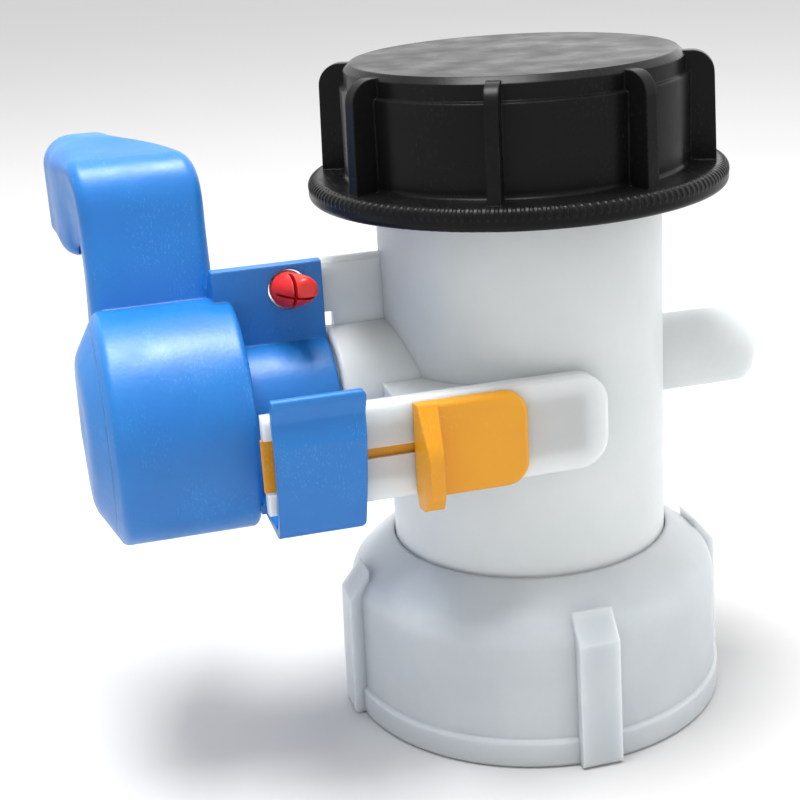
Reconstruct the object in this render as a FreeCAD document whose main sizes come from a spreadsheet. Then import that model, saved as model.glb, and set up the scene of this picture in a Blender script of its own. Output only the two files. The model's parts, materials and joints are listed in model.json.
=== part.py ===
import FreeCAD, Part
import os
from types import SimpleNamespace

import Sketcher
from FreeCAD import Rotation, Vector

# Butterfly outlet valve for a bulk liquid tank (IBC), millimetres.
# The origin is the centre of the union nut's open end. +Z is the way the liquid leaves,
# the valve stem lies along X with the handle at -X, and the slide's guide faces -Y.

SIZES = {
    # clearances
    "play": 0.3,               # between pieces that move past each other
    "slip": 0.1,               # running fit of a shaft
    "seat": 0.02,              # pieces pressed or laid together
    # pipe
    "bore_r": 25.0,            # DN50 bore, where the disc seals
    "pipe_wall": 5.0,
    "bore_relief": 0.4,        # how much wider the bore's ends are
    "seat_half": 26.0,         # half the length of the sealing stretch
    "spigot_z": 26.0,          # lower end of the pipe, inside the union nut
    "stem_z": 73.5,            # height of the stem's axis
    "neck_up": 42.9,           # from the stem's axis up to the outlet thread
    "neck_length": 18.4,
    "thread_depth": 1.8,       # the S60x6 thread's root lies this much inside the pipe's outside
    # stem, its bearings and the bosses that hold them
    "stem_r": 7.0, "bush_wall": 1.9, "bush_length": 15.0, "nose_wall": 2.9,
    "boss_length": 12.8,       # stout boss next to the pipe, handle side
    "nose_length": 17.7,       # slim end of that boss, inside the handle's sleeve
    "pivot_r": 4.5, "pivot_wall": 1.3, "pivot_boss_wall": 2.6,
    "pivot_boss_length": 21.8,                     # blind boss on the far side
    "pivot_boss_round": 2.6, "pivot_boss_end": 5.3,
    "o_ring_t": 1.25, "o_ring_in": 2.0, "o_ring_out": 8.5, "groove_w": 3.2,
    "clip_t": 1.0, "clip_depth": 0.8, "clip_wide": 2.5, "clip_gap": 7.0,
    "square": 10.0,
    # closing disc
    "disc_gap": 0.8, "disc_t": 4.8, "hub_wrap": 2.5, "seal_t": 2.6, "seal_depth": 2.0,
    "disc_rib_t": 2.5, "disc_rib_h": 2.4, "disc_rib_x": 7.5,
    "disc_screw_x": 12.0, "disc_screw_r": 2.0, "disc_screw_head_r": 3.7, "disc_screw_length": 15.0,
    # guide bar of the slide
    "bar_stand": 4.5,          # its face, in front of the pipe's outside
    "bar_x1": 6.2, "bar_past": 1.4,
    "bar_wall": 1.0, "bar_back": 0.8,
    "bar_drop": 0.5,           # its middle lies this much under the stem's axis
    "bar_half": 10.0, "bar_round": 6.4, "bar_bevel": 0.7,
    "entry_length": 3.6,       # open stretch of its front wall, where the strip goes in
    "root_x": 35.0, "root_half": 7.0,
    "strip_t": 0.9, "strip_half": 5.3, "slot_half": 1.1,
    # arm that the handle's fin closes against
    "arm_t": 5.6, "arm_low": 18.5, "arm_high": 28.9,
    # union nut
    "nut_room": 7.75,          # from the pipe's outside to the root of the S75x6 thread
    "nut_thread_z": 22.0, "nut_relief": 0.65, "nut_relief_z": 26.0,
    "nut_wall": 3.25, "nut_lip": 0.8, "nut_lip_z": 5.9,
    "nut_edge_z": 30.0, "nut_taper": 0.4,          # where the wall turns into the shoulder
    "nut_top_z": 38.3, "nut_brim": 0.8,
    "nut_inner_z": 32.4,       # face that pulls on the retaining ring
    "nut_inner": 2.6, "nut_round": 7.0,
    "lug_reach": 2.8, "lug_lean": 0.7, "lug_w": 8.7, "lug_z": 28.1, "lug_bevel": 4.7, "lug_top_z": 34.0,
    # ring and gasket inside the nut
    "ring_w": 5.2, "ring_edge_z": 28.0, "gasket_w": 6.5, "gasket_t": 3.2,
    # screw cap
    "cap_drop": 1.8,           # how far its skirt reaches below the thread
    "flange_w": 13.3, "flange_t": 4.6, "flange_round": 1.3, "flange_top_round": 2.2,
    "cap_wall": 5.5, "cap_step": 1.0, "cap_step_down": 4.8, "cap_bevel": 1.4, "cap_bevel_h": 1.3,
    "cap_roof": 4.0, "cap_gasket_t": 2.6,
    "cap_rib_out": 5.3, "cap_rib_lean": 0.6, "cap_rib_w": 2.7, "cap_rib_down": 0.7,
    "cap_rib_round": 4.6, "cap_rib_turn": 20.6,
    # handle: hub and sleeve
    "hub_r": 24.2, "hub_gap": 1.8, "hub_length": 27.6, "hub_wall": 2.6, "hub_floor": 3.0,
    "hub_rim_round": 1.8, "hub_web_t": 1.8,
    "sleeve_wall": 2.0, "sleeve_gap": 0.5, "boss_step": 1.3,
    "socket_wall": 5.5, "socket_length": 21.0,
    # handle: fin and flap
    "fin_t": 3.0, "fin_high": 30.4, "fin_root": 3.8,
    "flap_w": 18.3, "flap_stand": 3.6, "flap_t": 1.8, "flap_lean": 2.6, "flap_dip": 1.1,
    "flap_top": 13.9, "flap_foot": 15.6, "flap_round": 3.4, "flap_taper": 1.3,
    # lever and grip; places are measured from the stem's axis and the hub's end
    "lever_in": 12.7, "lever_w": 26.9, "lever_t": 14.1, "lever_y": 12.4,
    "grip_in": 4.4, "grip_y": 49.7, "grip_z": 41.9, "grip_w": 18.0, "grip_h": 22.4, "grip_wall": 2.7,
    # dished cover, screw and washer on the handle's end
    "cover_rise": 5.0, "cover_crown": 0.6, "cover_dish": 8.7, "cover_t": 2.2, "cover_spigot": 3.0,
    "screw_r": 3.0, "screw_length": 14.0, "screw_head_r": 5.5, "screw_head_h": 3.4,
    "washer_r": 9.0, "washer_t": 1.2,
    # red pin
    "pin_in": 10.1, "pin_high": 25.2, "pin_r": 3.75, "pin_gap": 0.45, "pin_tip_y": 10.8,
    "pin_tip_r": 2.1, "pin_tip_dx": 2.4, "pin_tip_dz": 1.9, "pin_tail": 3.0,
    # yellow slide
    "tab_x0": 30.2, "tab_x1": 11.5, "tab_low": 10.6, "tab_high": 8.9, "tab_t": 2.4,
    "tab_round": 4.7, "tab_soft": 1.1, "neck_x0": 34.0, "neck_x1": 27.5, "slide_travel": 14.0,
    "ridge_stand": 6.9, "ridge_foot": 12.7, "ridge_w": 4.0,
}

doc = FreeCAD.newDocument("tank_outlet_valve")
sheet = doc.addObject("Spreadsheet::Sheet", "Sizes")


class Size:
    """A length that carries its number and the sheet words it is made of."""

    def __init__(self, text, value):
        self.text, self.value = text, float(value)

    def join(self, sign, other, swap=False):
        a, b = self, size(other)
        if swap:
            a, b = b, a
        value = {"+": a.value + b.value, "-": a.value - b.value,
                 "*": a.value * b.value, "/": a.value / (b.value or 1.0)}[sign]
        return Size("(%s %s %s)" % (a.text, sign, b.text), value)

    def __add__(self, other):
        return self.join("+", other)

    def __radd__(self, other):
        return self.join("+", other, True)

    def __sub__(self, other):
        return self.join("-", other)

    def __rsub__(self, other):
        return self.join("-", other, True)

    def __mul__(self, other):
        return self.join("*", other)

    def __rmul__(self, other):
        return self.join("*", other, True)

    def __truediv__(self, other):
        return self.join("/", other)

    def __neg__(self):
        return self.join("-", 0.0, True)

    def __float__(self):
        return self.value


def size(value):
    return value if isinstance(value, Size) else Size("(%.6f)" % value, value)


def root(value):
    return Size("sqrt(%s)" % value.text, float(value) ** 0.5)


for row, (word, number) in enumerate(SIZES.items(), 1):
    sheet.set("A%d" % row, word.replace("_", " "))
    sheet.set("B%d" % row, str(number))
    sheet.setAlias("B%d" % row, word)
doc.recompute()
s = SimpleNamespace(**{word: Size("Sizes." + word, number) for word, number in SIZES.items()})

# sizes that follow from the ones above; x, y and z give a distance from the origin
s.pipe_r = s.bore_r + s.pipe_wall
s.bore_out_r = s.bore_r + s.bore_relief
s.neck_z = s.stem_z + s.neck_up
s.neck_top = s.neck_z + s.neck_length
s.neck_r = s.pipe_r - s.thread_depth
s.inside_x = s.bore_r - 5                        # where a boss starts, within the bore
s.bush_r = s.stem_r + s.slip + s.bush_wall
s.nose_r = s.bush_r + s.nose_wall
s.sleeve_r = s.nose_r + s.play + s.sleeve_wall
s.boss_r = s.sleeve_r + s.boss_step
s.boss_x = s.pipe_r + s.boss_length
s.nose_x = s.boss_x + s.nose_length
s.bush_x = s.nose_x - s.bush_length
s.pivot_bush_r = s.pivot_r + s.slip + s.pivot_wall
s.pivot_boss_r = s.pivot_bush_r + s.pivot_boss_wall
s.pivot_boss_x = s.pipe_r + s.pivot_boss_length
s.pivot_depth = s.pivot_boss_x - s.pivot_boss_end
s.pivot_x0 = root(s.bore_r * s.bore_r - s.stem_r * s.stem_r)      # the thick part stays in the bore
s.pivot_x1 = s.pivot_depth - 1
s.o_ring_x1 = s.pipe_r + s.o_ring_in
s.o_ring_x2 = s.pipe_r + s.o_ring_out
s.clip_x = s.nose_x + s.play + 0.1
s.clip_groove_r = s.stem_r - s.clip_depth
s.clip_r = s.stem_r + s.clip_wide
s.disc_r = s.bore_r - s.disc_gap
s.seal_r = s.bore_r - s.play
s.disc_hub_r = s.stem_r + s.hub_wrap
s.disc_hub_x = s.disc_r - s.seal_depth - 1
s.sleeve_x = s.boss_x + s.sleeve_gap
s.hub_x1 = s.nose_x + s.hub_gap
s.hub_x0 = s.hub_x1 + s.hub_length
s.socket_r = s.square / 2 + s.socket_wall
s.socket_x = s.hub_x1 + s.socket_length
s.stem_end = s.socket_x - s.play
s.flap_x0 = s.hub_x1 - s.play
s.flap_x1 = s.flap_x0 - s.flap_w
s.bar_x0 = s.flap_x0 + s.bar_past
s.bar_face = s.pipe_r + s.bar_stand
s.flap_face = s.bar_face + s.flap_stand
s.ridge_y = s.bar_face + s.ridge_stand
s.arm_x = s.nose_x + 0.1
s.arm_z0, s.arm_z1 = s.stem_z + s.arm_low, s.stem_z + s.arm_high
s.fin_z = s.stem_z + s.fin_high
s.fin_root_x = s.hub_x1 + s.fin_root
s.nut_thread_r = s.pipe_r + s.nut_room
s.nut_relief_r = s.nut_thread_r + s.nut_relief
s.nut_wall_r = s.nut_thread_r + s.nut_wall
s.nut_lip_r = s.nut_wall_r + s.nut_lip
s.nut_edge_r = s.nut_wall_r - s.nut_taper
s.nut_inner_r = s.pipe_r + s.nut_inner
s.lug_foot_r = s.nut_wall_r + s.lug_reach
s.lug_r = s.lug_foot_r - s.lug_lean
s.lug_top_r = s.lug_r - s.lug_bevel
s.ring_r = s.pipe_r + s.ring_w
s.gasket_r = s.pipe_r + s.gasket_w
s.cap_in_r = s.pipe_r + s.play
s.cap_z = s.neck_z - s.cap_drop
s.flange_r = s.cap_in_r + s.flange_w
s.flange_z = s.cap_z + s.flange_t
s.cap_face = s.neck_top + s.cap_gasket_t + 2 * s.play       # inside face of the cap's roof
s.cap_top_z = s.cap_face + s.cap_roof
s.cap_wall_r = s.cap_in_r + s.cap_wall
s.cap_upper_r = s.cap_wall_r - s.cap_step
s.cap_top_r = s.cap_upper_r - s.cap_bevel
s.cap_step_z = s.cap_top_z - s.cap_step_down
s.cap_rib_r = s.cap_wall_r + s.cap_rib_out
s.cap_rib_top_r = s.cap_rib_r - s.cap_rib_lean
s.cap_rib_z = s.cap_top_z - s.cap_rib_down
s.hub_inner_r = s.hub_r - s.hub_wall
s.cover_bulge_r = s.hub_r - s.cover_dish
s.cover_bulge_x = s.hub_x0 + s.cover_rise
s.cover_x = s.cover_bulge_x + s.cover_crown
s.hub_rim_x = s.hub_x0 + s.cover_rise * s.hub_wall / s.cover_dish    # the rim follows the cover's cone
s.lever_x = s.hub_x0 - s.lever_in
s.grip_x = s.hub_x0 - s.grip_in
s.pin_x = s.arm_x - s.pin_in
s.pin_z = s.stem_z + s.pin_high
s.pin_hole = s.pin_r + s.pin_gap
s.tab_z0, s.tab_z1 = s.stem_z - s.tab_low, s.stem_z + s.tab_high
s.ridge_foot_z = s.stem_z - s.ridge_foot

# directions of a body's own axis: how a Z-long primitive is laid along X, Y or Z
LAY = {"X": Rotation(Vector(0, 1, 0), 90), "Y": Rotation(Vector(1, 0, 0), -90), "Z": Rotation()}


def bind(thing, prop, value):
    thing.setExpression(prop, size(value).text)


def place(thing, x=0.0, y=0.0, z=0.0, turn=None):
    thing.Placement = FreeCAD.Placement(Vector(float(x), float(y), float(z)), turn or Rotation())
    for prop, value in (("x", x), ("y", y), ("z", z)):
        bind(thing, "Placement.Base." + prop, value)
    return thing


def draw(sketch, points, rounds=None):
    """Closed outline through points; rounds gives corner number -> radius."""
    count = len(points)
    spot = [Vector(float(a), float(b), 0) for a, b in points]
    for i in range(count):
        sketch.addGeometry(Part.LineSegment(spot[i], spot[(i + 1) % count]), False)
    for i in range(count):
        sketch.addConstraint(Sketcher.Constraint("Coincident", i, 2, (i + 1) % count, 1))
    for i, pair in enumerate(points):
        for kind, value in zip(("DistanceX", "DistanceY"), pair):
            n = sketch.addConstraint(Sketcher.Constraint(kind, -1, 1, i, 1, float(value)))
            bind(sketch, "Constraints[%d]" % n, value)
    for corner, radius in (rounds or {}).items():
        sketch.fillet(corner, 1, float(radius), True, True)
        arc = max(i for i, g in enumerate(sketch.Geometry)
                  if g.TypeId == "Part::GeomArcOfCircle")
        n = sketch.addConstraint(Sketcher.Constraint("Radius", arc, float(radius)))
        bind(sketch, "Constraints[%d]" % n, radius)


def new_body(name, plane, points, rounds=None):
    body = doc.addObject("PartDesign::Body", name)
    sketch = add_sketch(body, name + "_outline", plane, points, rounds)
    return body, sketch


def add_sketch(body, name, plane, points, rounds=None):
    sketch = body.newObject("Sketcher::SketchObject", name)
    base = [f for f in body.Origin.OriginFeatures if f.Role == plane + "_Plane"][0]
    sketch.AttachmentSupport, sketch.MapMode = (base, [""]), "FlatFace"
    draw(sketch, points, rounds)
    return sketch


def turned(name, axis, points, rounds=None, at=(0.0, 0.0, 0.0)):
    """Revolved piece. Z: points are (r, z); X: (x, r); Y: (r, y)."""
    body, sketch = new_body(name, "XY" if axis == "Y" else "XZ", points, rounds)
    spin = body.newObject("PartDesign::Revolution", name + "_turn")
    spin.Profile = sketch
    spin.ReferenceAxis = (sketch, ["H_Axis" if axis == "X" else "V_Axis"])
    spin.Angle = 360
    body.Tip = spin
    return place(body, *at)


def slab(name, normal, points, start, length, rounds=None, at=None):
    """Outline pushed along its normal. X: points are (y, z); Y: (x, z); Z: (x, y)."""
    plane = {"X": "YZ", "Y": "XZ", "Z": "XY"}[normal]
    body, sketch = new_body(name, plane, points, rounds)
    pad = body.newObject("PartDesign::Pad", name + "_push")
    pad.Profile, pad.Reversed = sketch, normal == "Y"
    pad.Length = float(length)
    bind(pad, "Length", length)
    body.Tip = pad
    spot = dict(zip("xyz", at or (0.0, 0.0, 0.0)))
    spot[normal.lower()] = start
    return place(body, **spot)


def spokes(body, points, width, count, rounds=None):
    """Adds count equal fins round Z to a turned piece; points are (r, z)."""
    sketch = add_sketch(body, body.Name + "_fin", "XZ", points, rounds)
    pad = body.newObject("PartDesign::Pad", body.Name + "_fin_push")
    pad.Profile, pad.SideType = sketch, "Symmetric"
    pad.Length = float(width)
    bind(pad, "Length", width)
    ring = body.newObject("PartDesign::PolarPattern", body.Name + "_ring")
    ring.Originals = [pad]
    ring.Axis = ([f for f in body.Origin.OriginFeatures if f.Role == "Z_Axis"][0], [""])
    ring.Angle, ring.Occurrences = 360, count
    body.Tip = ring


def rod(name, axis, radius, start, length, x=0.0, y=0.0, z=0.0):
    thing = doc.addObject("Part::Cylinder", name)
    bind(thing, "Radius", radius)
    bind(thing, "Height", length)
    spot = {"x": x, "y": y, "z": z}
    spot[axis.lower()] = start
    return place(thing, turn=LAY[axis], **spot)


def block(name, x, y, z):
    """Box between the pairs x, y and z."""
    thing = doc.addObject("Part::Box", name)
    for prop, (low, high) in zip(("Length", "Width", "Height"), (x, y, z)):
        bind(thing, prop, size(high) - low)
    return place(thing, x[0], y[0], z[0])


def fuse(name, *things):
    thing = doc.addObject("Part::MultiFuse", name)
    thing.Shapes, thing.Refine = list(things), True
    return thing


def common(name, *things):
    thing = doc.addObject("Part::MultiCommon", name)
    thing.Shapes, thing.Refine = list(things), True
    return thing


def cut(name, base, *tools):
    thing = doc.addObject("Part::Cut", name)
    thing.Base, thing.Refine = base, True
    thing.Tool = tools[0] if len(tools) == 1 else fuse(name + "_tools", *tools)
    return thing


def soften(name, base, kind, radius, chosen):
    """Fillet or Chamfer on the edges of base for which chosen(edge) holds."""
    doc.recompute()
    thing = doc.addObject("Part::" + kind, name)
    thing.Base = base
    thing.Edges = [(n, float(radius), float(radius))
                   for n, edge in enumerate(base.Shape.Edges, 1) if chosen(edge)]
    return thing


def section(name, x, y, z, width, depth, round_front, round_back, tilt):
    """Rounded rectangle for a loft: width along X, depth across it, leaned back by tilt."""
    sketch = doc.addObject("Sketcher::SketchObject", name)
    w, d = size(width) / 2, size(depth) / 2
    draw(sketch, [(-w, -d), (w, -d), (w, d), (-w, d)],
         {0: round_front, 1: round_front, 2: round_back, 3: round_back})
    return place(sketch, x, y, z, Rotation(Vector(1, 0, 0), tilt))


def loft(name, *sections):
    thing = doc.addObject("Part::Loft", name)
    thing.Sections, thing.Solid, thing.MaxDegree = list(sections), True, 2
    return thing


nodes = {}


def node(name, thing):
    thing.Label = name
    nodes[name] = thing


# --- valve body -------------------------------------------------------------------------
pipe = turned("pipe", "Z", [
    (s.bore_r, s.spigot_z), (s.pipe_r, s.spigot_z), (s.pipe_r, s.neck_z),
    (s.neck_r, s.neck_z + 0.6), (s.neck_r, s.neck_top - 1), (s.neck_r - 1, s.neck_top),
    (s.bore_r, s.neck_top)], {1: 0.6})
boss = turned("boss", "X", [
    (-s.boss_x, 0), (-s.boss_x, s.boss_r), (-s.inside_x, s.boss_r), (-s.inside_x, 0)],
    {1: 0.8}, (0, 0, s.stem_z))
nose = rod("nose", "X", s.nose_r, -s.nose_x, s.nose_x - s.inside_x, z=s.stem_z)
pivot_boss = turned("pivot_boss", "X", [
    (s.inside_x, 0), (s.pivot_boss_x, 0), (s.pivot_boss_x, s.pivot_boss_r), (s.inside_x, s.pivot_boss_r)],
    {2: s.pivot_boss_round}, (0, 0, s.stem_z))
bar_z = s.stem_z - s.bar_drop
strip_front = -s.bar_face + s.bar_wall           # front of the strip's chamber in the bar
bar = slab("bar", "Y", [
    (-s.bar_x0, bar_z - s.bar_half), (s.bar_x1, bar_z - s.bar_half),
    (s.bar_x1, bar_z + s.bar_half), (-s.bar_x0, bar_z + s.bar_half)],
    -s.bar_face, s.bar_wall + s.strip_t + 2 * s.play + s.bar_back,
    {1: s.bar_round, 2: s.bar_round})
bar_bevelled = soften("bar_bevelled", bar, "Chamfer", s.bar_bevel, lambda e:
                      abs(e.CenterOfMass.y + float(s.bar_face)) < 0.01
                      and e.CenterOfMass.x > -float(s.bar_x0) + 1)
bar_root = block("bar_root", (-s.root_x, s.bar_x1 - s.bar_round), (strip_front + s.strip_t, -s.bore_r / 2),
                 (bar_z - s.root_half, bar_z + s.root_half))
arm = block("arm", (-s.arm_x, -s.inside_x), (s.fin_t / 2 + s.play, s.fin_t / 2 + s.play + s.arm_t),
            (s.arm_z0, s.arm_z1))
arm_web = block("arm_web", (-s.boss_x + 2, -s.inside_x), (s.fin_t / 2 + s.play, s.fin_t / 2 + s.play + 3),
                (s.stem_z, s.arm_z0 + 1))
outside = fuse("body_outside", pipe, boss, nose, pivot_boss, bar_bevelled, bar_root, arm, arm_web)
chamber = block("chamber", (-s.bar_x0 - 1, -s.tab_x1 - 1.5 + s.slide_travel + s.play),
                (strip_front, strip_front + s.strip_t + 2 * s.play),
                (bar_z - s.strip_half - s.play, bar_z + s.strip_half + s.play))
slot = block("slot", (-s.bar_x0 - 1, -s.neck_x1 + s.slide_travel + s.play),
             (-s.bar_face - 1, strip_front + 0.5), (bar_z - s.slot_half, bar_z + s.slot_half))
entry = block("entry", (-s.bar_x0 - 1, -s.bar_x0 + s.entry_length), (-s.bar_face - 1, strip_front + 0.5),
              (bar_z - s.strip_half - s.play, bar_z + s.strip_half + s.play))
bore = rod("bore", "Z", s.bore_r, 0, s.cap_top_z)
bore_in = rod("bore_in", "Z", s.bore_out_r, 0, s.stem_z - s.seat_half)
bore_out = rod("bore_out", "Z", s.bore_out_r, s.stem_z + s.seat_half, s.cap_top_z)
stem_bore = rod("stem_bore", "X", s.stem_r + s.slip, -s.nose_x - 1, s.nose_x + 1 - s.inside_x, z=s.stem_z)
bush_bore = rod("bush_bore", "X", s.bush_r + s.seat, -s.nose_x - 1,
                s.nose_x + 1 - s.bush_x, z=s.stem_z)
pivot_bore = rod("pivot_bore", "X", s.pivot_bush_r + s.seat, s.inside_x,
                 s.pivot_depth - s.inside_x, z=s.stem_z)
pin_socket = rod("pin_socket", "Y", s.pin_hole, -5, 30, x=-s.pin_x, z=s.pin_z)
node("valve_body", cut("valve_body", outside, chamber, slot, entry, bore, bore_in, bore_out, stem_bore, bush_bore,
                       pivot_bore, pin_socket))

node("stem_bush", turned("stem_bush", "X", [
    (-s.nose_x, s.stem_r + s.slip), (-s.bush_x - s.seat, s.stem_r + s.slip),
    (-s.bush_x - s.seat, s.bush_r),
    (-s.nose_x, s.bush_r)], None, (0, 0, s.stem_z)))
node("pivot_bush", turned("pivot_bush", "X", [
    (s.bore_r + 2, s.pivot_r + s.slip), (s.pivot_depth - s.seat, s.pivot_r + s.slip),
    (s.pivot_depth - s.seat, s.pivot_bush_r),
    (s.bore_r + 2, s.pivot_bush_r)], None, (0, 0, s.stem_z)))

# --- union nut, the ring that holds it, and the gasket it presses on the tank's outlet ----
nut = turned("union_nut", "Z", [
    (s.nut_thread_r, 0), (s.nut_lip_r, 0), (s.nut_lip_r, s.nut_lip_z),
    (s.nut_wall_r, s.nut_lip_z + 0.6), (s.nut_edge_r, s.nut_edge_z),
    (s.pipe_r + s.play + s.nut_brim, s.nut_top_z), (s.pipe_r + s.play, s.nut_top_z),
    (s.pipe_r + s.play, s.nut_inner_z), (s.nut_inner_r, s.nut_inner_z),
    (s.nut_relief_r, s.nut_relief_z), (s.nut_relief_r, s.nut_thread_z),
    (s.nut_thread_r, s.nut_thread_z)], {1: 0.9, 2: 0.9, 4: s.nut_round})
spokes(nut, [(s.nut_wall_r - 1.5, 0), (s.lug_foot_r, 0), (s.lug_r, s.lug_z),
             (s.lug_top_r, s.lug_top_z), (s.nut_wall_r - 2.2, s.lug_z)],
       s.lug_w, 4, {1: 1.2, 2: 0.8})
node("union_nut", nut)
node("nut_retaining_ring", turned("nut_retaining_ring", "Z", [
    (s.pipe_r + s.seat, s.spigot_z), (s.ring_r, s.spigot_z), (s.ring_r, s.ring_edge_z),
    (s.nut_inner_r - 0.6, s.nut_inner_z - s.play), (s.pipe_r + s.seat, s.nut_inner_z - s.play)]))
node("tank_gasket", turned("tank_gasket", "Z", [
    (s.bore_out_r + 0.3, s.spigot_z - s.gasket_t), (s.gasket_r, s.spigot_z - s.gasket_t),
    (s.gasket_r, s.spigot_z - s.seat), (s.bore_out_r + 0.3, s.spigot_z - s.seat)],
    {0: 0.8, 1: 0.8, 2: 0.8, 3: 0.8}))

# --- screw cap and its gasket ---------------------------------------------------------------
cap = turned("screw_cap", "Z", [
    (s.cap_in_r, s.cap_z), (s.flange_r, s.cap_z), (s.flange_r, s.flange_z),
    (s.cap_wall_r, s.flange_z), (s.cap_wall_r, s.cap_step_z), (s.cap_upper_r, s.cap_step_z + 0.4),
    (s.cap_upper_r, s.cap_top_z - s.cap_bevel_h), (s.cap_top_r, s.cap_top_z), (0, s.cap_top_z),
    (0, s.cap_face), (s.cap_in_r, s.cap_face)],
    {1: s.flange_round, 2: s.flange_top_round, 3: 1.0})
spokes(cap, [(s.cap_upper_r - 1.5, s.flange_z - 1), (s.cap_rib_r, s.flange_z - 1),
             (s.cap_rib_top_r, s.cap_rib_z), (s.cap_upper_r - 1.5, s.cap_rib_z)],
       s.cap_rib_w, 8, {2: s.cap_rib_round})
cap.Placement.Rotation = Rotation(Vector(0, 0, 1), float(s.cap_rib_turn))
node("screw_cap", cap)
node("cap_gasket", turned("cap_gasket", "Z", [
    (s.bore_out_r + 0.3, s.neck_top + s.play), (s.cap_in_r - s.play, s.neck_top + s.play),
    (s.cap_in_r - s.play, s.cap_face - s.play), (s.bore_out_r + 0.3, s.cap_face - s.play)],
    {i: 0.5 for i in range(4)}))

# --- closing disc, its seal and the stem ---------------------------------------------------
half, lip = s.disc_t / 2, s.seal_t / 2 + s.seat
disc_plate = turned("disc_plate", "Z", [
    (0, -half), (s.disc_r, -half), (s.disc_r, -lip), (s.disc_r - s.seal_depth, -lip),
    (s.disc_r - s.seal_depth, lip), (s.disc_r, lip), (s.disc_r, half), (0, half)],
    None, (0, 0, s.stem_z))
disc_hub = rod("disc_hub", "X", s.disc_hub_r, -s.disc_hub_x, 2 * s.disc_hub_x, z=s.stem_z)
eye_rooms = [rod("eye_room_" + side, "X", s.disc_hub_r + s.seat, x, 10, z=s.stem_z)
             for side, x in (("a", -s.disc_hub_x - 10), ("b", s.disc_hub_x))]
disc_ribs = [block("disc_rib_%d" % i, (x - s.disc_rib_t / 2, x + s.disc_rib_t / 2),
                   (-s.disc_r + 5.2, s.disc_r - 5.2),
                   (s.stem_z - half - s.disc_rib_h, s.stem_z + half + s.disc_rib_h))
             for i, x in enumerate((-s.disc_rib_x, s.disc_rib_x))]
disc_round = fuse("disc_round", disc_plate, disc_hub, *disc_ribs)
stem_hole = rod("stem_hole", "X", s.stem_r + s.seat, -30, 60, z=s.stem_z)
head_top = s.stem_z + s.disc_hub_r - 0.2
screw_holes, screw_parts = [], []
for side, x in (("a", -s.disc_screw_x), ("b", s.disc_screw_x)):
    screw_holes += [rod("screw_hole_" + side, "Z", s.disc_screw_r + s.seat, head_top - s.disc_screw_length,
                        s.disc_screw_length + 5, x=x),
                    rod("screw_sink_" + side, "Z", s.disc_screw_head_r + s.seat, head_top - 2, 5, x=x)]
    screw_parts += [turned("disc_screw_" + side, "Z", [
        (0, -s.disc_screw_length), (s.disc_screw_r, -s.disc_screw_length), (s.disc_screw_r, -2),
        (s.disc_screw_head_r, -2), (s.disc_screw_head_r, -0.6), (s.disc_screw_head_r - 0.7, 0),
        (1.2, 0), (1.2, -1.2), (0, -1.2)], None, (x, 0, head_top))]
node("butterfly_disc", cut("butterfly_disc", disc_round, stem_hole, *eye_rooms, *screw_holes))
screws = doc.addObject("Part::Compound", "disc_screws")
screws.Links = screw_parts
node("disc_screws", screws)
seal_ring = turned("seal_ring", "Z", [
    (s.disc_r - s.seal_depth + s.seat, -s.seal_t / 2), (s.seal_r, -s.seal_t / 2),
    (s.seal_r, s.seal_t / 2), (s.disc_r - s.seal_depth + s.seat, s.seal_t / 2)],
    {1: 0.8, 2: 0.8}, (0, 0, s.stem_z))
eye_reach = doc.addObject("Part::Sphere", "eye_reach")   # stays inside the bore while it turns
bind(eye_reach, "Radius", s.seal_r - 0.15)
place(eye_reach, 0, 0, s.stem_z)
seal_eyes = common("seal_eyes", rod("eye_round", "X", s.disc_hub_r, -s.seal_r, 2 * s.seal_r, z=s.stem_z),
                   eye_reach)
hub_x = s.disc_hub_x + s.seat
node("disc_seal", cut("disc_seal", fuse("seal_whole", seal_ring, seal_eyes),
                      rod("hub_room", "X", s.disc_hub_r + s.seat, -hub_x, 2 * hub_x, z=s.stem_z),
                      rod("stem_eye", "X", s.stem_r + s.seat, -30, 60, z=s.stem_z)))

groove = s.groove_w / 2
groove_r = s.stem_r + s.slip - 2 * s.o_ring_t - 0.15
outline = [(-s.stem_end, 0), (-s.stem_end, s.square / 2 + 1.2), (-s.stem_end + 0.8, s.stem_r),
           (-s.clip_x - s.clip_t - 0.1, s.stem_r), (-s.clip_x - s.clip_t - 0.1, s.clip_groove_r),
           (-s.clip_x + 0.1, s.clip_groove_r), (-s.clip_x + 0.1, s.stem_r)]
for at in (s.o_ring_x2, s.o_ring_x1):
    outline += [(-at - groove, s.stem_r), (-at - groove, groove_r), (-at + groove, groove_r),
                (-at + groove, s.stem_r)]
outline += [(s.pivot_x0, s.stem_r), (s.pivot_x0, s.pivot_r), (s.pivot_x1 - 0.8, s.pivot_r),
            (s.pivot_x1, s.pivot_r - 0.8), (s.pivot_x1, 0)]
stem_round = turned("stem_round", "X", outline, None, (0, 0, s.stem_z))
flat = s.square / 2
flats = [block("flat_%d" % i, (-s.stem_end - 1, -s.hub_x1 - 1.0), y, z) for i, (y, z) in enumerate((
    ((flat, 20), (s.stem_z - 20, s.stem_z + 20)), ((-20, -flat), (s.stem_z - 20, s.stem_z + 20)),
    ((-20, 20), (s.stem_z + flat, s.stem_z + 20)), ((-20, 20), (s.stem_z - 20, s.stem_z - flat))))]
stem_tap = rod("stem_tap", "X", s.screw_r + s.seat, -s.stem_end - 1, s.screw_length + 2, z=s.stem_z)
cross_holes = [rod("cross_hole_" + side, "Z", s.disc_screw_r + s.seat, head_top - s.disc_screw_length - 0.5,
                   s.disc_screw_length + 5, x=x)
               for side, x in (("a", -s.disc_screw_x), ("b", s.disc_screw_x))]
node("stem", cut("stem", stem_round, stem_tap, *flats, *cross_holes))
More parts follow.
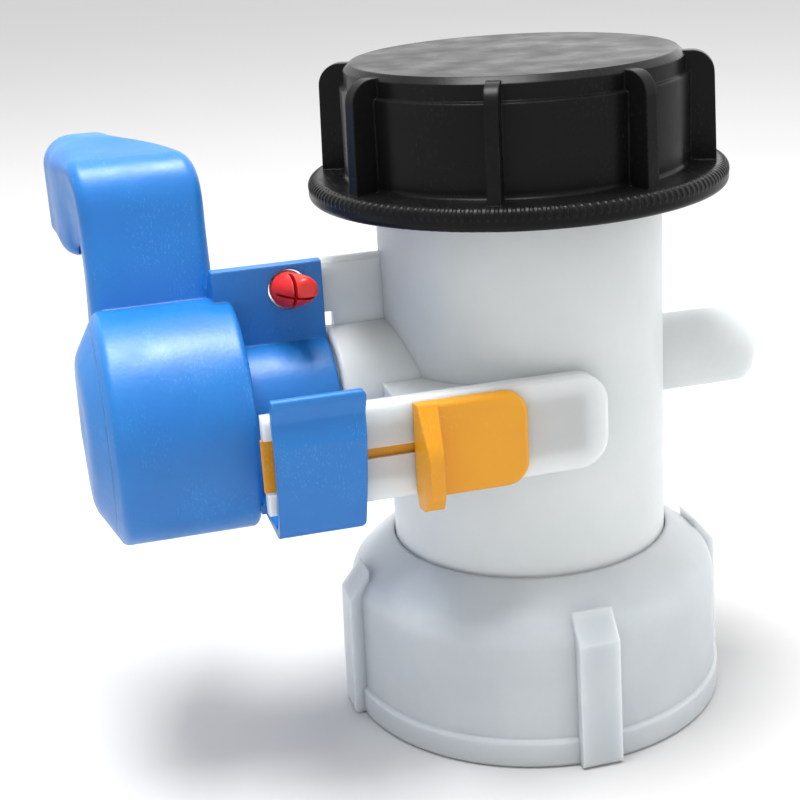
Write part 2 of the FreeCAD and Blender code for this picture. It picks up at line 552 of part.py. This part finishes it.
for name, at in (("stem_o_ring_inner", s.o_ring_x1), ("stem_o_ring_outer", s.o_ring_x2)):
    ring = doc.addObject("Part::Torus", name)
    bind(ring, "Radius1", s.stem_r + s.slip - 0.05 - s.o_ring_t)
    bind(ring, "Radius2", s.o_ring_t)
    node(name, place(ring, -at, 0, s.stem_z, LAY["X"]))
clip_ring = turned("clip_ring", "X", [
    (-s.clip_x - s.clip_t, s.clip_groove_r + 0.05), (-s.clip_x, s.clip_groove_r + 0.05),
    (-s.clip_x, s.clip_r), (-s.clip_x - s.clip_t, s.clip_r)], None, (0, 0, s.stem_z))
clip_mouth = block("clip_mouth", (-s.clip_x - 2, -s.clip_x + 1), (-s.clip_gap / 2, s.clip_gap / 2),
                   (s.stem_z - 12, s.stem_z))
node("stem_retaining_clip", cut("stem_retaining_clip", clip_ring, clip_mouth))

# --- handle: hub, sleeve, fin, flap, lever and grip in one moulding --------------------------
floor = s.hub_x1 + 1.0
hub = turned("hub", "X", [
    (-s.hub_x0, s.hub_r), (-s.hub_x1, s.hub_r), (-s.hub_x1, s.sleeve_r), (-s.sleeve_x, s.sleeve_r),
    (-s.sleeve_x, s.nose_r + s.play), (-floor, s.nose_r + s.play), (-floor, 0), (-s.socket_x, 0),
    (-s.socket_x, s.socket_r), (-floor - s.hub_floor, s.socket_r),
    (-floor - s.hub_floor, s.hub_inner_r), (-s.hub_rim_x, s.hub_inner_r)],
    {0: s.hub_rim_round, 1: 1.2, 3: 0.6}, (0, 0, s.stem_z))
fin = block("fin", (-s.hub_x1 - 0.5, -s.sleeve_x), (-s.fin_t / 2, s.fin_t / 2),
            (s.stem_z + s.nose_r + s.play + 0.5, s.fin_z))
root_back = s.lever_y - s.lever_t / 2 + 3        # within the lever
fin_root = slab("fin_root", "X", [
    (-s.fin_t / 2, s.hub_r - 3), (root_back, s.hub_r - 3), (root_back, s.fin_high - 5.6),
    (s.fin_t / 2, s.fin_high), (-s.fin_t / 2, s.fin_high)],
    -s.fin_root_x, s.fin_root_x - s.hub_x1, None, (0, 0, s.stem_z))
flap_in = s.flap_face - s.flap_t
low = s.flap_face - s.flap_lean                  # the foot stands further back than the top
flap_bent = slab("flap_bent", "X", [
    (-s.flap_face, s.flap_top), (-s.flap_face, s.flap_top - 1.6), (-s.flap_face + s.flap_dip, s.flap_top - 4.6),
    (-s.flap_face, s.flap_top - 9.5), (-s.flap_face + 0.3, -4), (-low, -s.flap_foot), (-3, -s.flap_foot),
    (-3, -s.flap_foot + 2), (-low + s.flap_t, -s.flap_foot + 2), (-flap_in + 0.3, -5),
    (-flap_in, s.flap_top - 9.5), (-flap_in + s.flap_dip, s.flap_top - 4.6), (-flap_in, s.flap_top)],
    -s.flap_x0, s.flap_x0 - s.flap_x1,
    {0: 0.7, 2: 1.5, 3: 2.5, 5: s.flap_round, 8: s.flap_round - s.flap_t, 10: 2.0, 11: 1.5, 12: 0.6}, (0, 0, s.stem_z))
flap_front = slab("flap_front", "Y", [
    (-s.flap_x0, -s.flap_foot), (-s.flap_x1 - s.flap_taper, -s.flap_foot), (-s.flap_x1, s.flap_top),
    (-s.flap_x0, s.flap_top)], -s.flap_face, s.flap_face, {1: 2.0, 2: 1.2}, (0, 0, s.stem_z))
flap = common("flap", flap_bent, flap_front)
flap_web = block("flap_web", (-s.hub_x1 - 0.5, -s.flap_x0 + 0.5), (-20, -3),
                 (s.stem_z - s.flap_foot, s.stem_z - s.flap_foot + 2))
# each section: middle (x, y, z), width, depth, front and back corner radius, lean in degrees
path = [(-s.lever_x, s.lever_y, 16.5, s.lever_w, s.lever_t + 0.4, 2.5, 2.5, -12),
        (-s.lever_x, s.lever_y + 4.6, 35.1, s.lever_w - 1.2, s.lever_t, 3.0, 3.0, -24),
        (-s.lever_x - 0.8, s.lever_y + 10.2, s.grip_z - 0.4, s.lever_w - 1.0, s.grip_h - 0.6, 2.6, 3.2, -62),
        (-s.lever_x - 2.6, s.lever_y + 15.6, s.grip_z - 0.6, s.lever_w - 1.7, s.grip_h, 3.4, 3.2, -82),
        (-s.grip_x + 1.7, s.grip_y - 10.9, s.grip_z + 0.2, s.grip_w + 2.2, s.grip_h + 0.3, 6.0, 3.0, -90),
        (-s.grip_x, s.grip_y, s.grip_z, s.grip_w, s.grip_h, 6.5, 2.8, -90)]
lever = loft("lever", *[section("lever_%d" % n, x, y, s.stem_z + z, *rest)
                        for n, (x, y, z, *rest) in enumerate(path)])
moulding = fuse("moulding", hub, fin, fin_root, flap, flap_web, lever)
socket = block("socket", (-s.socket_x - 1, -floor + 1),
               (-flat - s.slip, flat + s.slip), (s.stem_z - flat - s.slip, s.stem_z + flat + s.slip))
hub_webs = [block("hub_web_%d" % i, (-s.hub_x0 + s.cover_spigot + 1, -floor), y, z) for i, (y, z) in enumerate((
    ((-s.hub_r, s.hub_r), (s.stem_z - s.hub_web_t / 2, s.stem_z + s.hub_web_t / 2)),
    ((-s.hub_web_t / 2, s.hub_web_t / 2), (s.stem_z - s.hub_r, s.stem_z + s.hub_r))))]
cavity = cut("cavity", rod("cavity_room", "X", s.hub_inner_r, -s.cover_x - 1,
                           s.cover_x + 1 - floor - s.hub_floor, z=s.stem_z),
             rod("cavity_core", "X", s.socket_r, -s.socket_x, s.socket_x, z=s.stem_z), *hub_webs)
# the grip is cored from below, with two cross ribs left standing
core_y = (s.lever_y + 12.8, s.lever_y + 26.3, s.grip_y - s.grip_wall)
core_x = [(s.lever_x - s.lever_w / 2 + 5.4, s.lever_x + s.lever_w / 2 - 0.9),
          (s.grip_x - s.grip_w / 2 - 0.2, s.grip_x + s.grip_w / 2 - 3.3),
          (s.grip_x - s.grip_w / 2 + s.grip_wall, s.grip_x + s.grip_w / 2 - s.grip_wall)]
grip_core = slab("grip_core", "Z", [(-right, y) for (left, right), y in zip(core_x, core_y)]
                 + [(-left, y) for (left, right), y in reversed(list(zip(core_x, core_y)))],
                 s.stem_z + s.grip_z - s.grip_h / 2 - 3, s.grip_h + 3 - s.grip_wall - 0.5)
grip_ribs = [block("grip_rib_%d" % i, (-s.grip_x - s.lever_w, -s.lever_x + s.lever_w),
                   (y - s.hub_web_t / 2, y + s.hub_web_t / 2), (s.stem_z, s.stem_z + s.grip_z + s.grip_h))
             for i, y in enumerate((core_y[0] + 7, core_y[2] - 7.2))]
grip_pockets = cut("grip_pockets", grip_core, *grip_ribs)
pin_hole = rod("pin_hole", "Y", s.pin_hole, -5, 30, x=-s.pin_x, z=s.pin_z)
node("handle", cut("handle", moulding, socket, cavity, grip_pockets, pin_hole))

spigot_r = s.hub_inner_r - s.seat
node("hub_cover", turned("hub_cover", "X", [
    (-s.hub_rim_x, spigot_r), (-s.cover_bulge_x, s.cover_bulge_r), (-s.cover_x, 0),
    (-s.cover_x + s.cover_t, 0), (-s.cover_bulge_x + s.cover_t, s.cover_bulge_r - 1),
    (-s.hub_rim_x + s.cover_t, spigot_r - 2), (-s.hub_x0 + s.cover_spigot, spigot_r - 2),
    (-s.hub_x0 + s.cover_spigot, spigot_r)], {0: 0.3, 1: 8.0}, (0, 0, s.stem_z)))
washer_x = s.socket_x + s.seat
node("handle_washer", turned("handle_washer", "X", [
    (-washer_x - s.washer_t, s.screw_r + 0.2), (-washer_x, s.screw_r + 0.2),
    (-washer_x, s.washer_r), (-washer_x - s.washer_t, s.washer_r)], {3: 0.4}, (0, 0, s.stem_z)))
head_x = washer_x + s.washer_t + s.seat
node("handle_screw", turned("handle_screw", "X", [
    (-head_x - s.screw_head_h, 2.4), (-head_x - s.screw_head_h, s.screw_head_r),
    (-head_x, s.screw_head_r), (-head_x, s.screw_r), (-head_x + s.screw_length, s.screw_r),
    (-head_x + s.screw_length, 0), (-head_x - 1.2, 0), (-head_x - 1.2, 2.4)], {1: 1.2}, (0, 0, s.stem_z)))

# --- red pin through the fin, its tail resting in the arm ------------------------------------
tail = s.fin_t / 2 + s.play + s.pin_tail
pin_shank = turned("pin_shank", "Y", [
    (0, -s.fin_t / 2 - 1.2), (s.pin_r, -s.fin_t / 2 - 1.2), (s.pin_r, 0), (s.pin_r - 0.5, s.fin_t / 2),
    (s.pin_r - 0.9, tail), (0, tail)], None, (-s.pin_x, 0, s.pin_z))
rings = []
for n, (part, radius) in enumerate(((0.0, s.pin_r), (0.25, s.pin_r - 0.15), (0.75, s.pin_tip_r + 0.75),
                                    (1.0, s.pin_tip_r))):
    ring = doc.addObject("Part::Circle", "pin_ring_%d" % n)
    bind(ring, "Radius", radius)
    reach = s.pin_tip_y - s.fin_t / 2 - 1.2
    rings.append(place(ring, -s.pin_x + part * s.pin_tip_dx, -s.fin_t / 2 - 1.2 - part * reach,
                       s.pin_z + part * s.pin_tip_dz, LAY["Y"]))
pin_round = soften("pin_round", fuse("pin_whole", pin_shank, loft("pin_tip", *rings)), "Fillet", 1.2,
                   lambda e: e.CenterOfMass.y < -float(s.pin_tip_y) + 0.01)
slits = [block("slit_%d" % i, (-s.pin_x - a, -s.pin_x + a), (-s.pin_tip_y - 1, -s.pin_tip_y + 7.0),
               (s.pin_z - b, s.pin_z + b)) for i, (a, b) in enumerate(((0.3, 6), (6, 0.3)))]
node("safety_pin", cut("safety_pin", pin_round, *slits))

# --- yellow slide: strip inside the bar, neck in its slot, thumb tab in front ------------------
strip_y = strip_front + s.play
strip = block("strip", (-s.bar_x0 - 0.4, -s.tab_x1 - 1.5), (strip_y, strip_y + s.strip_t),
              (bar_z - s.strip_half, bar_z + s.strip_half))
tab_back = -s.bar_face - s.play
slide_neck = block("slide_neck", (-s.neck_x0, -s.neck_x1), (tab_back - 0.5, strip_y + 0.3),
                   (bar_z - s.slot_half + s.play, bar_z + s.slot_half - s.play))
tab = slab("tab", "Y", [
    (-s.tab_x0, s.tab_z0), (-s.tab_x1, s.tab_z0), (-s.tab_x1, s.tab_z1), (-s.tab_x0, s.tab_z1)],
    tab_back - s.tab_t, s.tab_t, {1: s.tab_round, 2: s.tab_round})
tab_soft = soften("tab_soft", tab, "Fillet", s.tab_soft, lambda e:
                  abs(e.CenterOfMass.y - float(tab_back - s.tab_t)) < 0.01
                  and e.CenterOfMass.x > -float(s.tab_x0) + 0.5)
ridge_plan = slab("ridge_plan", "Z", [
    (-s.tab_x0 - s.ridge_w, tab_back), (-s.tab_x0 - s.ridge_w + 0.6, -s.ridge_y + 2),
    (-s.tab_x0 - s.ridge_w + 1.3, -s.ridge_y - 0.6), (-s.tab_x0, -s.ridge_y - 0.6),
    (-s.tab_x0 + 0.4, tab_back - s.tab_t), (-s.tab_x0 + 0.4, tab_back)],
    s.ridge_foot_z - 2, s.tab_z1 - s.ridge_foot_z + 4, {2: 1.0, 3: 0.9})
ridge_side = slab("ridge_side", "X", [
    (tab_back, s.tab_z1), (tab_back - s.tab_t, s.tab_z1), (-s.ridge_y, s.tab_z1 - 9),
    (-s.ridge_y, s.ridge_foot_z + 3.5), (-s.ridge_y + 3, s.ridge_foot_z), (tab_back - 1, s.ridge_foot_z),
    (tab_back, s.ridge_foot_z + 3)], -s.tab_x0 - 8, 14, {2: 9, 3: 2.5, 4: 1.2})
ridge = common("ridge", ridge_plan, ridge_side)
node("latch_slide", fuse("latch_slide", strip, slide_neck, tab_soft, ridge))

# --- check and write ------------------------------------------------------------------------
doc.recompute()
for thing in doc.Objects:
    if "Invalid" in thing.State or "Error" in thing.State:
        raise RuntimeError("%s did not build" % thing.Name)
for name, thing in nodes.items():
    if thing.Shape.isNull() or not thing.Shape.isValid():
        raise RuntimeError("%s has no valid shape" % name)
os.makedirs("parts", exist_ok=True)
for name, thing in nodes.items():
    thing.Shape.exportStep("parts/%s.step" % name)
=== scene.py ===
import json
import math

import bmesh
import bpy
from mathutils import Matrix, Vector


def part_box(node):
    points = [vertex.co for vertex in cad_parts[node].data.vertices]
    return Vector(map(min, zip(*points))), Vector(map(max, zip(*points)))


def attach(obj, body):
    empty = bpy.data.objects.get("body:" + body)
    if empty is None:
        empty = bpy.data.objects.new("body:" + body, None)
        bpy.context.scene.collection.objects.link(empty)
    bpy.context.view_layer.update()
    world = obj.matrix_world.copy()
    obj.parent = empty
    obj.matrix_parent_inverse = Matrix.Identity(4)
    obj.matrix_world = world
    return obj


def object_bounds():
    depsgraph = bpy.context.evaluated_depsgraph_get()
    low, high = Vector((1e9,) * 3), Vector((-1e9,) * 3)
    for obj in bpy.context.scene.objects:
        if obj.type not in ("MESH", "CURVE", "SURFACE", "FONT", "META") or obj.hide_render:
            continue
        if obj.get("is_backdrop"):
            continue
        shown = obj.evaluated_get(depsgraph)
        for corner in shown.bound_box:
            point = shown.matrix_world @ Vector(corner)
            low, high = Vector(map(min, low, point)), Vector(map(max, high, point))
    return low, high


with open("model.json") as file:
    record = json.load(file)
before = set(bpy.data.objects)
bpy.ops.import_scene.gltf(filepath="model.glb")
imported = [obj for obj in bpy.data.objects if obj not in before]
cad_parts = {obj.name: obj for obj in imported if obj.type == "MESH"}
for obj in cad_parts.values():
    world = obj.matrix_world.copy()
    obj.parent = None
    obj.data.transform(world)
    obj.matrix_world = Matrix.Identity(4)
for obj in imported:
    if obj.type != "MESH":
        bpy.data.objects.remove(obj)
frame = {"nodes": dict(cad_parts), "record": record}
low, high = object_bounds()
nodes = frame["nodes"]
MM = 0.001


# ---------------------------------------------------------------- materials
def new_material(name, **values):
    """Principled material; returns the material, its tree and its shader."""
    mat = bpy.data.materials.new(name)
    mat.use_nodes = True
    tree = mat.node_tree
    shader = tree.nodes["Principled BSDF"]
    for socket, value in values.items():
        shader.inputs[socket.replace("_", " ")].default_value = value
    return mat, tree, shader


def add(tree, kind, **values):
    """New shader node; values are its input sockets or its settings, by name."""
    node = tree.nodes.new(kind)
    for key, value in values.items():
        if key in node.inputs:
            node.inputs[key].default_value = value
        else:
            setattr(node, key, value)
    return node


def noise(tree, scale, detail=3.0, rough=0.5, stretch=(1, 1, 1), turn=(0, 0, 0)):
    """Noise whose features are about 1/scale metres across, in stretched, turned coordinates."""
    coords = add(tree, "ShaderNodeTexCoord")
    mapping = add(tree, "ShaderNodeMapping", Rotation=turn, Scale=stretch)
    tree.links.new(coords.outputs["Object"], mapping.inputs["Vector"])
    tex = add(tree, "ShaderNodeTexNoise", Scale=scale, Detail=detail, Roughness=rough)
    tree.links.new(mapping.outputs["Vector"], tex.inputs["Vector"])
    return tex.outputs["Fac"]


def remap(tree, value, from_low, from_high, to_low, to_high, **settings):
    """Value carried from one range to another, and kept inside it."""
    node = add(tree, "ShaderNodeMapRange", **settings)
    tree.links.new(value, node.inputs["Value"])
    for socket, number in zip(("From Min", "From Max", "To Min", "To Max"),
                              (from_low, from_high, to_low, to_high)):
        node.inputs[socket].default_value = number
    return node.outputs["Result"]


def combine(tree, operation, first, second):
    """Two values under one arithmetic operation."""
    node = add(tree, "ShaderNodeMath", operation=operation)
    tree.links.new(first, node.inputs[0])
    tree.links.new(second, node.inputs[1])
    return node.outputs[0]


def blend_colour(tree, factor, first, second):
    """Mix of two colours; each is a colour or another node's output."""
    mix = add(tree, "ShaderNodeMix", data_type="RGBA")
    tree.links.new(factor, mix.inputs[0])
    for socket, colour in ((6, first), (7, second)):
        if isinstance(colour, tuple):
            mix.inputs[socket].default_value = (*colour, 1)
        else:
            tree.links.new(colour, mix.inputs[socket])
    return mix.outputs[2]


def bumps(tree, shader, layers, edge=0.0):
    """Stacks bump layers (height output, distance in metres) on softened edges."""
    last = None
    if edge:
        soft = add(tree, "ShaderNodeBevel", samples=4, Radius=edge)
        last = soft.outputs["Normal"]
    for height, distance in layers:
        bump = add(tree, "ShaderNodeBump", Distance=distance, Strength=1.0)
        tree.links.new(height, bump.inputs["Height"])
        if last:
            tree.links.new(last, bump.inputs["Normal"])
        last = bump.outputs["Normal"]
    if last:
        tree.links.new(last, shader.inputs["Normal"])


def edge_wear(tree, radius):
    """1 beside sharp edges, 0 on faces."""
    soft = add(tree, "ShaderNodeBevel", samples=4, Radius=radius)
    geometry = add(tree, "ShaderNodeNewGeometry")
    dot = add(tree, "ShaderNodeVectorMath", operation="DOT_PRODUCT")
    tree.links.new(soft.outputs["Normal"], dot.inputs[0])
    tree.links.new(geometry.outputs["Normal"], dot.inputs[1])
    return remap(tree, dot.outputs["Value"], 0.97, 0.8, 0.0, 1.0)


def scratches(tree, scale, turn, width):
    """Fine straight scratches in one direction, 1 on a scratch."""
    streaks = noise(tree, 1.0, 2.0, 0.6, (scale, scale * 0.06, scale * 0.5), turn)
    return remap(tree, streaks, 0.66 - width, 0.66, 0.0, 1.0)


def moulded(name, colour, tint, rough, glow, reach, edge, scuff=None, grain=0.00003, shine=0.5):
    """Moulded plastic: mottled colour, some light inside, orange-peel skin, soft edges and,
    where scuff is a colour, scratches and worn edges in it."""
    mat, tree, shader = new_material(name, Roughness=rough, IOR=1.5, Specular_IOR_Level=shine,
                                     Subsurface_Weight=glow, Subsurface_Radius=(1.0, 1.0, 1.0),
                                     Subsurface_Scale=reach)
    cloud = remap(tree, noise(tree, 45, 4, 0.55), 0.35, 0.65, 0.0, 1.0)
    paint = blend_colour(tree, cloud, colour, tint)
    if scuff:
        marks = scratches(tree, 2600, (0.3, 0.5, 0.9), 0.08)
        marked_places = remap(tree, noise(tree, 70), 0.46, 0.66, 0.0, 0.4)
        paint = blend_colour(tree, combine(tree, "MULTIPLY", marks, marked_places), paint, scuff)
        worn = edge_wear(tree, edge * 1.5)
        worn_places = remap(tree, noise(tree, 260), 0.45, 0.62, 0.0, 0.4)
        paint = blend_colour(tree, combine(tree, "MULTIPLY", worn, worn_places), paint, scuff)
    tree.links.new(paint, shader.inputs["Base Color"])
    sheen = remap(tree, noise(tree, 120), 0.3, 0.7, rough - 0.06, rough + 0.08)
    tree.links.new(sheen, shader.inputs["Roughness"])
    fine, broad = noise(tree, 900, 2, 0.5), noise(tree, 90, 2, 0.4)
    bumps(tree, shader, [(fine, grain), (broad, grain * 6)], edge)
    return mat


natural = moulded("natural_hdpe", (0.69, 0.72, 0.725), (0.64, 0.675, 0.685), 0.36, 1.0, 0.006, 0.0006)
# darker copy of natural_hdpe: painted shade on the nut, not a different grade of plastic
nut_painted_shade_hdpe = moulded("natural_hdpe_nut_painted_shade", (0.56, 0.595, 0.62), (0.51, 0.55, 0.58), 0.34, 1.0, 0.006, 0.0006)
blue = moulded("blue_hdpe", (0.007, 0.150, 0.49), (0.009, 0.18, 0.54), 0.38, 0.2, 0.001, 0.0007,
               scuff=(0.06, 0.33, 0.78))
yellow = moulded("yellow_pp", (0.73, 0.325, 0.002), (0.70, 0.295, 0.002), 0.40, 0.3, 0.0012, 0.0005,
                 scuff=(0.9, 0.5, 0.06))
red = moulded("red_pp", (0.74, 0.022, 0.014), (0.64, 0.016, 0.010), 0.36, 0.2, 0.001, 0.0003,
              scuff=(0.8, 0.16, 0.10))
black = moulded("black_cap", (0.004, 0.004, 0.0043), (0.006, 0.006, 0.0062), 0.30, 0.0, 0.001, 0.0005,
                scuff=(0.03, 0.03, 0.03), grain=0.00002, shine=0.13)
white = moulded("white_pp", (0.78, 0.78, 0.75), (0.74, 0.74, 0.71), 0.4, 0.4, 0.002, 0.0003)
foam = moulded("white_foam", (0.76, 0.76, 0.73), (0.68, 0.68, 0.66), 0.8, 0.3, 0.001, 0.0003, grain=0.0001)
rubber = moulded("black_rubber", (0.018, 0.018, 0.018), (0.028, 0.028, 0.027), 0.62, 0.0, 0.001, 0.0003)


def steel_material():
    """Drawn stainless steel: streaks in colour, sheen and relief."""
    mat, tree, shader = new_material("steel", Metallic=1.0, Roughness=0.3)
    streaks = noise(tree, 1400, 3, 0.6, (1, 0.08, 1))
    tree.links.new(blend_colour(tree, streaks, (0.52, 0.52, 0.53), (0.66, 0.66, 0.66)),
                   shader.inputs["Base Color"])
    tree.links.new(remap(tree, streaks, 0.3, 0.7, 0.22, 0.4), shader.inputs["Roughness"])
    bumps(tree, shader, [(streaks, 0.000008)], 0.0002)
    return mat


steel = steel_material()

FINISH = {                                         # material of each slot
    "natural_hdpe": natural, "bush_white": white, "white_pp": white, "white_foam": foam,
    "black_rubber": rubber, "black_cap": black, "blue_hdpe": blue, "red_pp": red,
    "yellow_pp": yellow, "steel": steel,
}
slot_of = {part["node"]: part["material_slot"] for part in frame["record"]["subparts"]}
for name, thing in nodes.items():                  # the nut takes a darker copy of the valve body's plastic: painted shade for the shadow it sits in
    finish = nut_painted_shade_hdpe if name == "union_nut" else FINISH[slot_of[name]]
    if not thing.material_slots:
        thing.data.materials.append(finish)
    for slot in thing.material_slots:
        slot.material = finish


# ---------------------------------------------------------------- added pieces
def new_object(name, data):
    thing = bpy.data.objects.new(name, data)
    bpy.context.scene.collection.objects.link(thing)
    return thing


def add_mesh(name, verts, faces, slot, body, smooth):
    """Mesh piece on a body, smooth across edges below the angle smooth, in degrees."""
    mesh = bpy.data.meshes.new(name)
    mesh.from_pydata(verts, [], faces)
    mesh.validate()
    bm = bmesh.new()
    bm.from_mesh(mesh)
    bmesh.ops.remove_doubles(bm, verts=bm.verts, dist=1e-7)
    bmesh.ops.recalc_face_normals(bm, faces=bm.faces)
    bm.to_mesh(mesh)
    bm.free()
    thing = new_object(name, mesh)
    mesh.materials.append(FINISH[slot])
    for face in mesh.polygons:
        face.use_smooth = True
    mesh.set_sharp_from_angle(angle=math.radians(smooth))
    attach(thing, body)
    return thing


def tooth(wall, crest):
    """Saw-tooth outline (r, z) in mm, from the radius wall to the radius crest and back."""
    return (wall, -2.1), (crest, -0.45), (crest, 0.75), (wall, 1.5)


def thread(name, profile, pitch, turns, start_z, fade, steps, slot, body):
    """Helical ridge. profile: (r, z) in mm round one tooth, its first and last points on the wall;
    the tooth shrinks to the wall over the angle fade (in turns) at both ends, and steps is the
    number of sections in a turn."""
    least = 0.02                                   # share of the tooth's height left at its ends
    verts, faces = [], []
    count = int(turns * steps) + 1
    wall = profile[0][0]
    for i in range(count):
        at = i / steps
        grow = max(0.0, min(1.0, at / fade, (turns - at) / fade))
        grow = grow * grow * (3 - 2 * grow)
        angle = 2 * math.pi * at
        for r, z in profile:
            r = wall + (r - wall) * max(grow, least)
            verts.append((r * MM * math.cos(angle), r * MM * math.sin(angle),
                          (start_z + pitch * at + z) * MM))
    n = len(profile)
    for i in range(count - 1):
        for j in range(n):
            k = (j + 1) % n
            faces.append((i * n + j, i * n + k, (i + 1) * n + k, (i + 1) * n + j))
    faces.append(tuple(range(n)))
    faces.append(tuple((count - 1) * n + j for j in range(n)))
    return add_mesh(name, verts, faces, slot, body, 35)


def knurl(name, path, count, share, slot, body):
    """Row of teeth over a rim. path: (r, z, height) in mm along the rim's outline, where height
    is the tooth's own there, from its foot to its crest, along the outline's normal. A tooth
    takes up the given share of its pitch."""
    sink = 0.12                                    # mm that the tooth's foot lies under the surface
    across = ((-1.0, 0.0), (-0.62, 0.65), (-0.2, 1.0), (0.2, 1.0), (0.62, 0.65), (1.0, 0.0))
    verts, faces = [], []
    rows, n = len(path), len(across)
    for i in range(count):
        base = len(verts)
        mid = 2 * math.pi * i / count
        half = math.pi / count * share
        for row, (r, z, height) in enumerate(path):
            r0, z0, _ = path[max(row - 1, 0)]
            r1, z1, _ = path[min(row + 1, rows - 1)]
            along = Vector((r1 - r0, z1 - z0)).normalized()
            out = Vector((along.y, -along.x))
            for turn, rise in across:
                angle = mid + half * turn
                reach = height * rise - sink
                rr, zz = r + out.x * reach, z + out.y * reach
                verts.append((rr * MM * math.cos(angle), rr * MM * math.sin(angle), zz * MM))
        for row in range(rows - 1):
            for j in range(n):
                k = (j + 1) % n
                faces.append((base + row * n + j, base + row * n + k,
                              base + (row + 1) * n + k, base + (row + 1) * n + j))
        faces.append(tuple(base + j for j in range(n)))
        faces.append(tuple(base + (rows - 1) * n + j for j in range(n)))
    return add_mesh(name, verts, faces, slot, body, 40)


def box_mm(node):
    """Lowest and highest corner of a node, in mm."""
    bottom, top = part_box(node)
    return bottom / MM, top / MM


# knurl on the cap's flange, from its side over the rounded top edge
cap_bottom, cap_top = box_mm("screw_cap")
flange_t, rim_round = 4.6, 2.2
round_r = cap_top.x - rim_round                    # centre of the rounding's outline
round_z = cap_bottom.z + flange_t - rim_round
arc_steps, tooth_height = 8, 0.36
first_turn, whole_turn = -12, 100                  # degrees: the start, and the way from there
side_per_turn = 3.5                                # mm down the flange's side for a radian below 0
arc = []
for i in range(arc_steps + 1):
    turn = math.radians(first_turn + whole_turn * i / arc_steps)
    up_arc = rim_round * math.sin(turn) if turn > 0 else side_per_turn * turn
    height = tooth_height * math.sin(math.pi * (i + 0.35) / (arc_steps + 0.7))
    arc.append((round_r + rim_round * math.cos(max(turn, 0)), round_z + up_arc, height))
knurl("cap_knurl", arc, 168, 0.86, "black_cap", "cap")

# S60x6 outlet thread, the cap's own thread, and the union nut's S75x6 thread
pipe_r, pitch = 30.0, 6.0
outlet_start = box_mm("valve_body")[1].z - 15.8
thread("outlet_thread", tooth(pipe_r - 1.9, pipe_r - 0.1), pitch, 2.15, outlet_start, 0.12, 72,
       "natural_hdpe", "valve")
thread("cap_thread", tooth(pipe_r + 0.4, pipe_r - 1.35), pitch, 2.0, outlet_start + pitch / 2, 0.12, 72,
       "black_cap", "cap")
nut_wall_r, nut_crest_r, nut_start = 37.85, 35.95, 2.9
thread("union_thread", tooth(nut_wall_r, nut_crest_r), pitch, 2.6, nut_start, 0.15, 84,
       "natural_hdpe", "union")

# ---------------------------------------------------------------- studio
floor_half, floor_gap = 6, 0.0001                  # metres
corners = [(x * floor_half, y * floor_half, 0) for x, y in ((-1, -1), (1, -1), (1, 1), (-1, 1))]
floor_mesh = bpy.data.meshes.new("floor")
floor_mesh.from_pydata(corners, [], [(0, 1, 2, 3)])
floor = new_object("floor", floor_mesh)
floor.location.z = low.z - floor_gap
floor_finish = new_material("floor", Roughness=0.9, Base_Color=(0.60, 0.60, 0.603, 1),
                            Specular_IOR_Level=0.0)
floor_mesh.materials.append(floor_finish[0])
floor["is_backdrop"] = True

world = bpy.data.worlds.new("studio")
bpy.context.scene.world = world
world.use_nodes = True
sky = world.node_tree
background = sky.nodes["Background"]
direction = add(sky, "ShaderNodeTexCoord").outputs["Generated"]


def lobe(aim, from_dot, to_dot, strength):
    """Soft bright patch of the surroundings: it grows from nothing where the cosine to the
    direction aim is from_dot to its whole strength where it is to_dot."""
    dot = add(sky, "ShaderNodeVectorMath", operation="DOT_PRODUCT")
    sky.links.new(direction, dot.inputs[0])
    dot.inputs[1].default_value = Vector(aim).normalized()
    return remap(sky, dot.outputs["Value"], from_dot, to_dot, 0.0, strength,
                 interpolation_type="SMOOTHSTEP")


all_round = lobe((0, 0, 1), -1.0, -0.9, 0.78)
wall_behind = lobe((0.1, 1, 0.35), 0.2, 0.95, 0.35)
right_side = lobe((1, 0.1, 0.25), 0.2, 0.95, 0.75)
light = combine(sky, "ADD", combine(sky, "ADD", all_round, wall_behind), right_side)
sky.links.new(light, background.inputs["Strength"])
background.inputs["Color"].default_value = (1.0, 0.995, 0.985, 1)


lamp_data = bpy.data.lights.new("overhead", "AREA")
lamp_data.shape = "RECTANGLE"
lamp_data.size = lamp_data.size_y = 0.40
lamp_data.energy = 11.5
lamp = new_object("overhead", lamp_data)
lamp.location = (-0.10, 0.02, 0.95)
lamp_aim = Vector((-0.03, 0.0, 0.07))
lamp.rotation_euler = (lamp_aim - lamp.location).to_track_quat("-Z", "Y").to_euler()

# ---------------------------------------------------------------- camera
cam_data = bpy.data.cameras.new("camera")
cam_data.lens = 72.735
cam_data.sensor_width = 36.0
cam_data.clip_start = 0.01
cam_data.clip_end = 50.0
cam = new_object("camera", cam_data)
spot = (-0.10568, -0.31865, 0.18384)
azimuth = math.radians(13.6904)                    # from +Y towards +X
elevation = math.radians(19.0007)                  # looking down
roll = math.radians(-3.5484)
cam.matrix_world = (Matrix.Translation(spot) @ Matrix.Rotation(-azimuth, 4, "Z")
                    @ Matrix.Rotation(math.pi / 2 - elevation, 4, "X") @ Matrix.Rotation(roll, 4, "Z"))
bpy.context.scene.camera = cam
bpy.context.scene.view_settings.view_transform = "Standard"

low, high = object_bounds()
